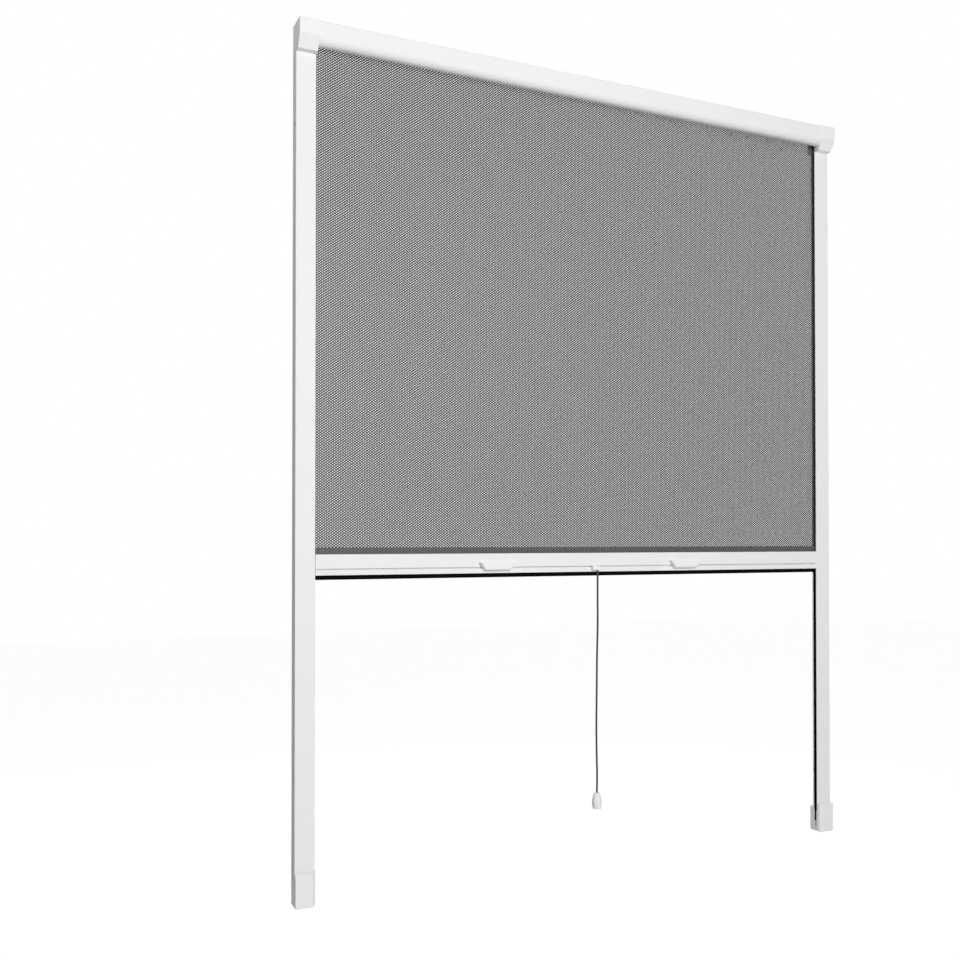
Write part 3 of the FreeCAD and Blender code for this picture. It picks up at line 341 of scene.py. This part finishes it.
def moulded_abs():
    """Injection moulded ABS from a spark-eroded mould.

    It gives a slightly warmer white than the coat, with a fine grain and soft highlights.
    """
    colour = bpy.context.scene.screen_colours.moulding
    material, shader, place = new_material("moulded_abs", colour, 0.5)
    shader.inputs["Specular IOR Level"].default_value = 0.3
    vary_colour(material, shader, colour, scaled(colour, 0.98), noise(material, place, 14))
    vary_roughness(material, shader, noise(material, place, 3), 0.44, 0.56)
    add_bump(material, shader, noise(material, place, 0.5, 4.0), 0.012, 0.4)
    return material


def coated_glass_yarn():
    """Glass yarn with a soft vinyl coat, woven and fused.

    It gives a dark grey mesh that stays matt, with a dull light along each yarn.
    """
    colour = bpy.context.scene.screen_colours.yarn
    material, shader, place = new_material("coated_glass_yarn", colour, 0.62)
    vary_colour(material, shader, colour, scaled(colour, 1.5), noise(material, place, 2.5))
    add_bump(material, shader, noise(material, place, 0.4), 0.05, 0.5)
    return material


def welded_hem():
    """Two layers of mesh welded together, mottled by its yarns, and painted lighter than the open mesh:
    painted light that shines through the thin layers.
    """
    colour = bpy.context.scene.screen_colours.hem
    material, shader, place = new_material("welded_hem", colour, 0.6)
    vary_colour(material, shader, scaled(colour, 1.5), scaled(colour, 0.4), noise(material, place, 3.2))
    add_bump(material, shader, noise(material, place, 0.5), 0.06, 0.6)
    return material


def dyed_pile():
    """Black polypropylene pile: deep and matt, as the bristles shade one another."""
    colour = bpy.context.scene.screen_colours.pile
    material, shader, place = new_material("dyed_pile", colour, 0.85)
    vary_colour(material, shader, colour, scaled(colour, 2.2), noise(material, place, 0.7))
    shader.inputs["Specular IOR Level"].default_value = 0.03
    return material


def braided_polyester():
    """Braided polyester cord: dark grey with the crossing ridges of its braid, with painted shade in its
    grooves and painted highlight on its crests.
    """
    colour = bpy.context.scene.screen_colours.braid
    material, shader, place = new_material("braided_polyester", colour, 0.7)
    ridges = []
    for lean in (1, -1):
        turned = add_node(
            material,
            "ShaderNodeMapping",
            {"Rotation": (0, math.radians(35 * lean), 0)},
            {"Vector": place},
        )
        # A wave's own scale of 1 has a period of a tenth of pi, so the braid's 1.1 mm step needs this
        wave = add_node(
            material,
            "ShaderNodeTexWave",
            {"Scale": math.tau / 20 / (1.1 * MM), "bands_direction": "Z"},
            {"Vector": turned.outputs["Vector"]},
        )
        ridges.append(wave.outputs["Fac"])
    crossing = add_node(material, "ShaderNodeMath", {"operation": "MAXIMUM"})
    for socket, ridge in zip(crossing.inputs, ridges):
        material.node_tree.links.new(ridge, socket)
    # Painted shade and highlight: the colour is darker in the braid's grooves and lighter on its crests
    vary_colour(material, shader, scaled(colour, 0.6), scaled(colour, 1.4), crossing.outputs[0])
    add_bump(material, shader, crossing.outputs[0], 0.18, 0.8)
    return material


def drawn_aluminium():
    """Bare drawn aluminium tube: bright, with fine die lines along its length."""
    material, shader, place = new_material("drawn_aluminium", linear("C4C6C9"), 0.36, 1.0)
    lines = noise(material, place, 0.6, 3.0, (0.02, 1, 1))
    vary_roughness(material, shader, lines, 0.3, 0.44)
    add_bump(material, shader, lines, 0.01, 0.4)
    return material


def spring_steel():
    """Cold drawn steel: darker and smoother than the tube, with a light oil film."""
    material, shader, place = new_material("spring_steel", linear("9A9C9F"), 0.28, 1.0)
    vary_roughness(material, shader, noise(material, place, 2.0), 0.22, 0.34)
    add_bump(material, shader, noise(material, place, 0.3), 0.006, 0.4)
    return material


def turned_acetal():
    """Natural acetal: an off-white, waxy plastic for plugs, welts and catches."""
    colour = bpy.context.scene.screen_colours.acetal
    material, shader, place = new_material("turned_acetal", colour, 0.45)
    vary_colour(material, shader, colour, scaled(colour, 0.95), noise(material, place, 8))
    add_bump(material, shader, noise(material, place, 0.8), 0.01, 0.4)
    return material


def shared_material(name, make):
    """The material if it was made before, or else a new one."""
    return bpy.data.materials.get(name) or make()


COATED_NODES = ("cassette_housing", "guide_rail_left", "guide_rail_right", "bar_profile")
MOULDED_NODES = (
    "end_cap_left",
    "end_cap_right",
    "foot_left",
    "foot_right",
    "bar_end_left",
    "bar_end_right",
    "handle_left",
    "handle_right",
    "cord_knob",
)
STEEL_NODES = ("spring_shaft", "torsion_spring", "idler_pin")
ACETAL_NODES = (
    "tube_plug_left",
    "tube_plug_right",
    "tube_keder",
    "bar_keder",
    "spring_anchor",
    "foot_catch_left",
    "foot_catch_right",
)


class SCREEN_OT_hardware(bpy.types.Operator):
    """Finish the cassette, rails, bar, mouldings and inner parts"""

    bl_idname = "screen.hardware"
    bl_label = "Hardware finishes"

    def execute(self, context):
        groups = (
            (COATED_NODES, powder_coated_aluminium()),
            (MOULDED_NODES, shared_material("moulded_abs", moulded_abs)),
            (("roller_tube",), drawn_aluminium()),
            (STEEL_NODES, spring_steel()),
            (ACETAL_NODES, turned_acetal()),
        )
        for names, material in groups:
            for name in names:
                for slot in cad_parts[name].material_slots:
                    slot.material = material
        return {"FINISHED"}


# Pull cord, its route in millimetres from where it leaves the knob
CORD_ROUTE = (
    (0.0, 0.0, 0.0),
    (-0.3, -0.3, -42.0),
    (0.2, 0.1, -90.0),
    (-1.3, 0.5, -143.0),
    (-2.0, -0.1, -198.0),
    (-3.3, -0.6, -252.0),
    (-2.3, 0.1, -302.0),
    (-1.0, 0.4, -338.0),
    (-2.1, 0.0, -364.7),
)
CORD_SIDE = 5.0 * MM
CORD_STAND_OFF = 3.0 * MM


def cord_points():
    """Points of the cord's route in metres."""
    knob_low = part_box("cord_knob")[0]
    bar_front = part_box("bar_profile")[0].y
    start = Vector((CORD_SIDE, bar_front - CORD_STAND_OFF, knob_low.z))
    return [start + Vector(point) * MM for point in CORD_ROUTE]


BELL_SIDES = 8


def add_bell():
    """Hollow eight-sided bell with rounded arrises, where its solid is."""
    sizes = bpy.context.scene.screen_sizes
    low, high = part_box("cord_bell")
    centre = (low + high) / 2
    tall = high.z - low.z
    waist = (high.x - low.x) / 2 / math.cos(math.pi / BELL_SIDES)
    wall = sizes.bell_wall
    foot = waist * 0.814
    rings = (
        (waist * 0.3, 0.4),
        (waist * 0.62, 0.48),
        (foot - wall, 0.93),
        (foot - wall, 1.0),
        (foot, 1.0),
        (waist * 0.965, 0.7),
        (waist * 0.988, 0.65),
        (waist * 0.976, 0.6),
        (waist * 0.757, 0.19),
        (waist * 0.676, 0.13),
        (waist * 0.45, 0.02),
        (waist * 0.4, 0.0),
    )
    shape = Shape()
    shape.loft([
        bell_ring(centre.x, centre.y, high.z - tall * share, radius) for radius, share in rings
    ])
    material = shared_material("moulded_abs", moulded_abs)
    bell = add_piece("bell", shape, material, 24)
    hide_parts("cord_bell")
    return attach(bell, "bar")


def bell_ring(x, y, z, radius):
    """Octagon with a flat to each side, whose corners are cut back by short arcs."""
    ring = []
    for corner in range(BELL_SIDES):
        for turn, share in ((-5, 0.968), (-1.8, 0.978), (1.8, 0.978), (5, 0.968)):
            angle = math.radians((corner + 0.5) * 360 / BELL_SIDES + turn)
            ring.append((
                x + radius * share * math.cos(angle),
                y + radius * share * math.sin(angle),
                z,
            ))
    return ring


class SCREEN_OT_cord(bpy.types.Operator):
    """Add the braided pull cord with its bell"""

    bl_idname = "screen.cord"
    bl_label = "Pull cord and bell"

    def execute(self, context):
        diameter = context.scene.screen_sizes.cord_diameter
        points = cord_points()
        curve = bpy.data.curves.new("pull_cord_braid", "CURVE")
        curve.dimensions = "3D"
        curve.bevel_depth = diameter / 2
        curve.bevel_resolution = 4
        curve.resolution_u = 10
        curve.use_fill_caps = True
        spline = curve.splines.new("NURBS")
        spline.points.add(len(points) - 1)
        for control, point in zip(spline.points, points):
            control.co = (*point, 1)
        spline.order_u = 3
        spline.use_endpoint_u = True
        curve.materials.append(braided_polyester())
        cord = bpy.data.objects.new("pull_cord_braid", curve)
        context.scene.collection.objects.link(cord)
        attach(cord, "bar")
        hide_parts("pull_cord")
        bell = add_bell()
        return {"FINISHED"}


# Heights at which the mesh is divided, as shares of its drop: closer at both ends
BAND_SHARES = (0, 0.025, 0.1, 0.2, 0.3, 0.4, 0.5, 0.6, 0.7, 0.8, 0.9, 0.975, 1)
BAND_NAME = "mesh_band_%02d"


def add_mesh_band(number, top_share, bottom_share, low, high, material):
    """Band of the mesh: two families of yarns."""
    sizes = bpy.context.scene.screen_sizes
    drop = high.z - low.z
    band_top = high.z - top_share * drop
    band_bottom = high.z - bottom_share * drop
    shape = Shape()
    front = low.y
    for rising, width in ((True, sizes.rising_width), (False, sizes.falling_width)):
        back = front + sizes.yarn_thickness
        add_yarns(shape, low.x, high.x, band_bottom, band_top, front, back, rising, width)
        front = back
    band = add_piece(BAND_NAME % number, shape, material)
    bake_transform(band)
    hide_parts("screen_cloth")
    return band


class SCREEN_OT_mesh(bpy.types.Operator):
    """Add the hanging mesh, its hem and the rest of it on the roller"""

    bl_idname = "screen.mesh"
    bl_label = "Mesh, hem and roll"

    def execute(self, context):
        low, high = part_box("screen_cloth")
        # The yarns stand for a finer weave of about 1.2 mm, drawn on the bias and as coarse as it shows
        material = coated_glass_yarn()
        roll = add_roll(material)
        hem = add_hem()
        count = len(BAND_SHARES) - 1
        for number in range(1, count + 1):
            top, bottom = BAND_SHARES[number - 1:number + 1]
            band = add_mesh_band(number, top, bottom, low, high, material)
        return {"FINISHED"}


def add_hem():
    """Doubled and welded hem: a core, narrower in the bar, with the yarns of both layers on it."""
    sizes = bpy.context.scene.screen_sizes
    low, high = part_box("cloth_hem")
    bar_low, bar_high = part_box("bar_profile")
    middle = (low.y + high.y) / 2
    half_core = sizes.hem_core / 2
    shape = Shape()
    soft = half_core * 0.6
    edge = half_core * 0.4
    for left, right, bottom, top in (
        (low.x, high.x, bar_high.z, high.z),
        (bar_low.x, bar_high.x, low.z, bar_high.z + 2 * soft),
    ):
        profile = (
            (-edge, bottom),
            (-half_core, bottom + soft),
            (-half_core, top - soft),
            (-edge, top),
            (edge, top),
            (half_core, top - soft),
            (half_core, bottom + soft),
            (edge, bottom),
        )
        shape.loft([[(x, middle + y, z) for y, z in profile] for x in (left, right)])
    stand = (high.y - low.y) / 2
    for face, rising, width in ((-1, True, sizes.rising_width), (1, False, sizes.falling_width)):
        outer = middle + face * stand
        inner = middle + face * half_core * 0.9
        add_yarns(
            shape, low.x, high.x, bar_high.z + soft, high.z - soft, outer, inner, rising, width
        )
    hem = add_piece("hem_band", shape, welded_hem())
    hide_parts("cloth_hem")
    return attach(hem, "bar")


def add_roll(material):
    """Cloth wound on the tube as one long spiral."""
    low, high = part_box("cloth_roll")
    tube_low, tube_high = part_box("roller_tube")
    centre = (low + high) / 2
    outer = (high.z - low.z) / 2
    inner = (tube_high.z - tube_low.z) / 2
    turns = bpy.context.scene.screen_sizes.roll_turns
    steps_per_turn = 40
    pitch = (outer - inner) / (turns + 1)
    thickness = pitch * 0.8
    rings = []
    for step in range(turns * steps_per_turn + 1):
        turned = step / steps_per_turn
        angle = turned * math.tau
        ring = []
        for x, radius in (
            (low.x, inner + turned * pitch),
            (high.x, inner + turned * pitch),
            (high.x, inner + turned * pitch + thickness),
            (low.x, inner + turned * pitch + thickness),
        ):
            ring.append((x, centre.y + radius * math.cos(angle), centre.z + radius * math.sin(angle)))
        rings.append(ring)
    shape = Shape()
    shape.loft(rings)
    roll = add_piece("mesh_roll", shape, material, 30)
    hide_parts("cloth_roll")
    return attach(roll, "roller")


class SCREEN_OT_rail_brushes(bpy.types.Operator):
    """Add the four brush strips in the rails"""

    bl_idname = "screen.rail_brushes"
    bl_label = "Rail brushes"

    def execute(self, context):
        material = shared_material("dyed_pile", dyed_pile)
        draw = random.Random(11)
        for side in ("left", "right"):
            for place in ("front", "rear"):
                add_rail_brush("rail_brush_%s_%s" % (place, side), place == "front", material, draw)
        return {"FINISHED"}


def add_rail_brush(node, from_front, material, draw):
    """Backing strip and dense core with three rows of tufts that lean at random."""
    sizes = bpy.context.scene.screen_sizes
    low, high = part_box(node)
    backing = 0.8 * MM
    inset = 0.35 * MM
    rows = 3
    wall = low.y if from_front else high.y
    tip = high.y if from_front else low.y
    way = 1 if from_front else -1
    root = wall + backing * way
    shape = Shape()
    shape.block((low.x, min(wall, root), low.z), (high.x, max(wall, root), high.z))
    core_tip = tip - sizes.pile_core * way
    core_inset = inset + sizes.pile_tuft / 2
    shape.block(
        (low.x + core_inset, min(root, core_tip), low.z),
        (high.x - core_inset, max(root, core_tip), high.z),
    )
    pile_low = low.x + inset + sizes.pile_tuft
    pile_step = (high.x - low.x - 2 * inset - 2 * sizes.pile_tuft) / (rows - 1)
    count = int((high.z - low.z) / sizes.pile_pitch)
    step = (high.z - low.z - 2 * sizes.pile_tuft) / (count - 1)
    for row in range(rows):
        for index in range(count):
            x = pile_low + row * pile_step
            z = low.z + sizes.pile_tuft + index * step
            lean = draw.uniform(-0.35, 0.35) * MM
            short = draw.uniform(0, 0.35) * MM
            z_tip = min(max(z + draw.uniform(-0.5, 0.5) * MM, low.z), high.z)
            start = Vector((x, root - 0.1 * MM * way, z))
            end = Vector((x + lean * 0.5, tip - (short + 0.05 * MM) * way, z_tip))
            add_tuft(shape, start, end, sizes.pile_tuft, draw.uniform(0, math.tau))
    name = node.replace("rail_brush", "rail_pile")
    piece = add_piece(name, shape, material)
    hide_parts(node)
    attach(piece, "frame")


class SCREEN_OT_bar_brush(bpy.types.Operator):
    """Add the brush below the bottom bar"""

    bl_idname = "screen.bar_brush"
    bl_label = "Bar brush"

    def execute(self, context):
        sizes = context.scene.screen_sizes
        material = shared_material("dyed_pile", dyed_pile)
        draw = random.Random(23)
        low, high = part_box("bar_brush")
        bar_low, bar_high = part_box("bar_profile")
        wall = 1.2 * MM
        neck = 2.15 * MM
        middle = (low.y + high.y) / 2
        shape = Shape()
        shape.block((bar_low.x, low.y, bar_low.z + wall), (bar_high.x, high.y, high.z))
        shape.block((bar_low.x, middle - neck, bar_low.z), (bar_high.x, middle + neck, bar_low.z + wall))
        core = neck - sizes.pile_tuft / 2
        shape.block(
            (low.x + sizes.pile_tuft, middle - core, low.z + sizes.pile_core / 2),
            (high.x - sizes.pile_tuft, middle + core, bar_low.z),
        )
        rows = 4
        count = int((high.x - low.x) / sizes.pile_pitch)
        step = (high.x - low.x - 2 * sizes.pile_tuft) / (count - 1)
        spread = neck - sizes.pile_tuft
        for row in range(rows):
            for index in range(count):
                x = low.x + sizes.pile_tuft + index * step
                y = middle - spread + 2 * spread * row / (rows - 1)
                x_tip = min(max(x + draw.uniform(-0.8, 0.8) * MM, low.x), high.x)
                z_tip = low.z + draw.uniform(0.0, 0.25) * MM
                start = Vector((x, y, bar_low.z + 0.3 * MM))
                end = Vector((x_tip, y + draw.uniform(-0.25, 0.25) * MM, z_tip))
                add_tuft(shape, start, end, sizes.pile_tuft, draw.uniform(0, math.tau))
        piece = add_piece("bar_pile", shape, material)
        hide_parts("bar_brush")
        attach(piece, "bar")
        return {"FINISHED"}


# Stage

CAMERA_PLACE = (-0.8728, -1.5030, -0.7358)
CAMERA_TILT = 90.737
CAMERA_TURN = -24.19
CAMERA_SHIFT = 0.0482


def add_camera():
    stage = bpy.context.scene.screen_stage
    lens = bpy.data.cameras.new("camera")
    lens.lens = stage.lens
    lens.sensor_width = 36
    lens.shift_y = CAMERA_SHIFT
    lens.clip_start = 0.05
    camera = bpy.data.objects.new("camera", lens)
    camera.location = CAMERA_PLACE
    camera.rotation_euler = (math.radians(CAMERA_TILT), 0, math.radians(CAMERA_TURN))
    bpy.context.scene.collection.objects.link(camera)
    bpy.context.scene.camera = camera


def add_lamp(name, place, target, power, side):
    lamp = bpy.data.lights.new(name, "AREA")
    lamp.energy = power
    lamp.size = side
    item = bpy.data.objects.new(name, lamp)
    item.location = place
    item.rotation_euler = (Vector(target) - Vector(place)).to_track_quat("-Z", "Y").to_euler()
    bpy.context.scene.collection.objects.link(item)


def seen_directly(material):
    """1 for rays from the camera, from gloss and through glass, and 0 for lighting rays."""
    rays = add_node(material, "ShaderNodeLightPath")
    seen = rays.outputs["Is Camera Ray"]
    for name in ("Is Glossy Ray", "Is Transmission Ray"):
        seen = add_node(
            material, "ShaderNodeMath", {"operation": "MAXIMUM"}, {0: seen, 1: rays.outputs[name]}
        ).outputs[0]
    return seen


def light_world():
    """Pale light from all round, which the camera sees as white."""
    world = bpy.data.worlds.new("studio")
    world.use_nodes = True
    bpy.context.scene.world = world
    background = world.node_tree.nodes["Background"]
    background.inputs["Color"].default_value = (1, 1, 1, 1)
    level = add_node(
        world,
        "ShaderNodeMapRange",
        {"To Min": bpy.context.scene.screen_stage.sky, "To Max": 1.0},
        {"Value": seen_directly(world)},
    )
    world.node_tree.links.new(level.outputs["Result"], background.inputs["Strength"])


def add_floor():
    """Matt white floor that stays near white to the camera and keeps a soft shadow."""
    level = CAD_BOX[0].z - bpy.context.scene.screen_stage.floor_drop
    half = 9.0
    mesh = bpy.data.meshes.new("floor")
    corners = [(-half, -half, level), (half, -half, level), (half, half, level), (-half, half, level)]
    mesh.from_pydata(corners, [], [(0, 1, 2, 3)])
    material, shader, place = new_material("matt_floor", linear("D2D2D2"), 0.9)
    tree = material.node_tree
    stage = bpy.context.scene.screen_stage
    glow = add_node(material, "ShaderNodeEmission", {"Strength": stage.glow})
    share = add_node(
        material, "ShaderNodeMapRange", {"To Max": stage.glow_share}, {"Value": seen_directly(material)}
    )
    mix = add_node(
        material,
        "ShaderNodeMixShader",
        None,
        {0: share.outputs["Result"], 1: shader.outputs[0], 2: glow.outputs[0]},
    )
    tree.links.new(mix.outputs[0], tree.nodes["Material Output"].inputs["Surface"])
    mesh.materials.append(material)
    floor = bpy.data.objects.new("floor", mesh)
    bpy.context.scene.collection.objects.link(floor)


class SCREEN_OT_studio(bpy.types.Operator):
    """Add the floor, lamps and camera"""

    bl_idname = "screen.studio"
    bl_label = "Studio"

    def execute(self, context):
        stage = context.scene.screen_stage
        context.scene.view_settings.view_transform = "Standard"
        add_camera()
        centre = (0, 0, -0.6)
        add_lamp("key_lamp", (-0.35, -2.8, 0.05), (-0.1, 0, -0.4), stage.key_power, 1.4)
        add_lamp("side_lamp", (-1.5, 0.6, 1.1), (-0.5, 0, 0), stage.side_power, 0.8)
        add_lamp("top_lamp", (0, 0.2, 2.4), centre, stage.top_power, 2.5)
        add_lamp("back_lamp", (0.3, 2.8, 0.3), centre, stage.back_power, 1.4)
        light_world()
        add_floor()
        return {"FINISHED"}


OPERATORS = (
    SCREEN_OT_hardware,
    SCREEN_OT_cord,
    SCREEN_OT_mesh,
    SCREEN_OT_rail_brushes,
    SCREEN_OT_bar_brush,
    SCREEN_OT_studio,
)


class SCREEN_PT_panel(bpy.types.Panel):
    """Buttons for each group of pieces, above the sizes, colours and light"""

    bl_idname = "SCREEN_PT_panel"
    bl_label = "Roller insect screen"
    bl_space_type = "VIEW_3D"
    bl_region_type = "UI"
    bl_category = "Screen"

    def draw(self, context):
        for operator in OPERATORS:
            self.layout.operator(operator.bl_idname)
        scene = context.scene
        for group in (scene.screen_sizes, scene.screen_colours, scene.screen_stage):
            box = self.layout.box()
            for name in group.bl_rna.properties.keys():
                if name not in ("rna_type", "name"):
                    box.prop(group, name)


GROUPS = {"screen_sizes": ScreenSizes, "screen_colours": ScreenColours, "screen_stage": ScreenStage}


def register():
    for item in (*GROUPS.values(), *OPERATORS, SCREEN_PT_panel):
        bpy.utils.register_class(item)
    for name, group in GROUPS.items():
        setattr(bpy.types.Scene, name, PointerProperty(type=group))


def unregister():
    for name in GROUPS:
        delattr(bpy.types.Scene, name)
    for item in reversed((*GROUPS.values(), *OPERATORS, SCREEN_PT_panel)):
        bpy.utils.unregister_class(item)


def main():
    register()
    bpy.ops.screen.hardware()
    bpy.ops.screen.cord()
    bpy.ops.screen.mesh()
    bpy.ops.screen.rail_brushes()
    bpy.ops.screen.bar_brush()
    bpy.ops.screen.studio()


if __name__ == "__main__":
    main()
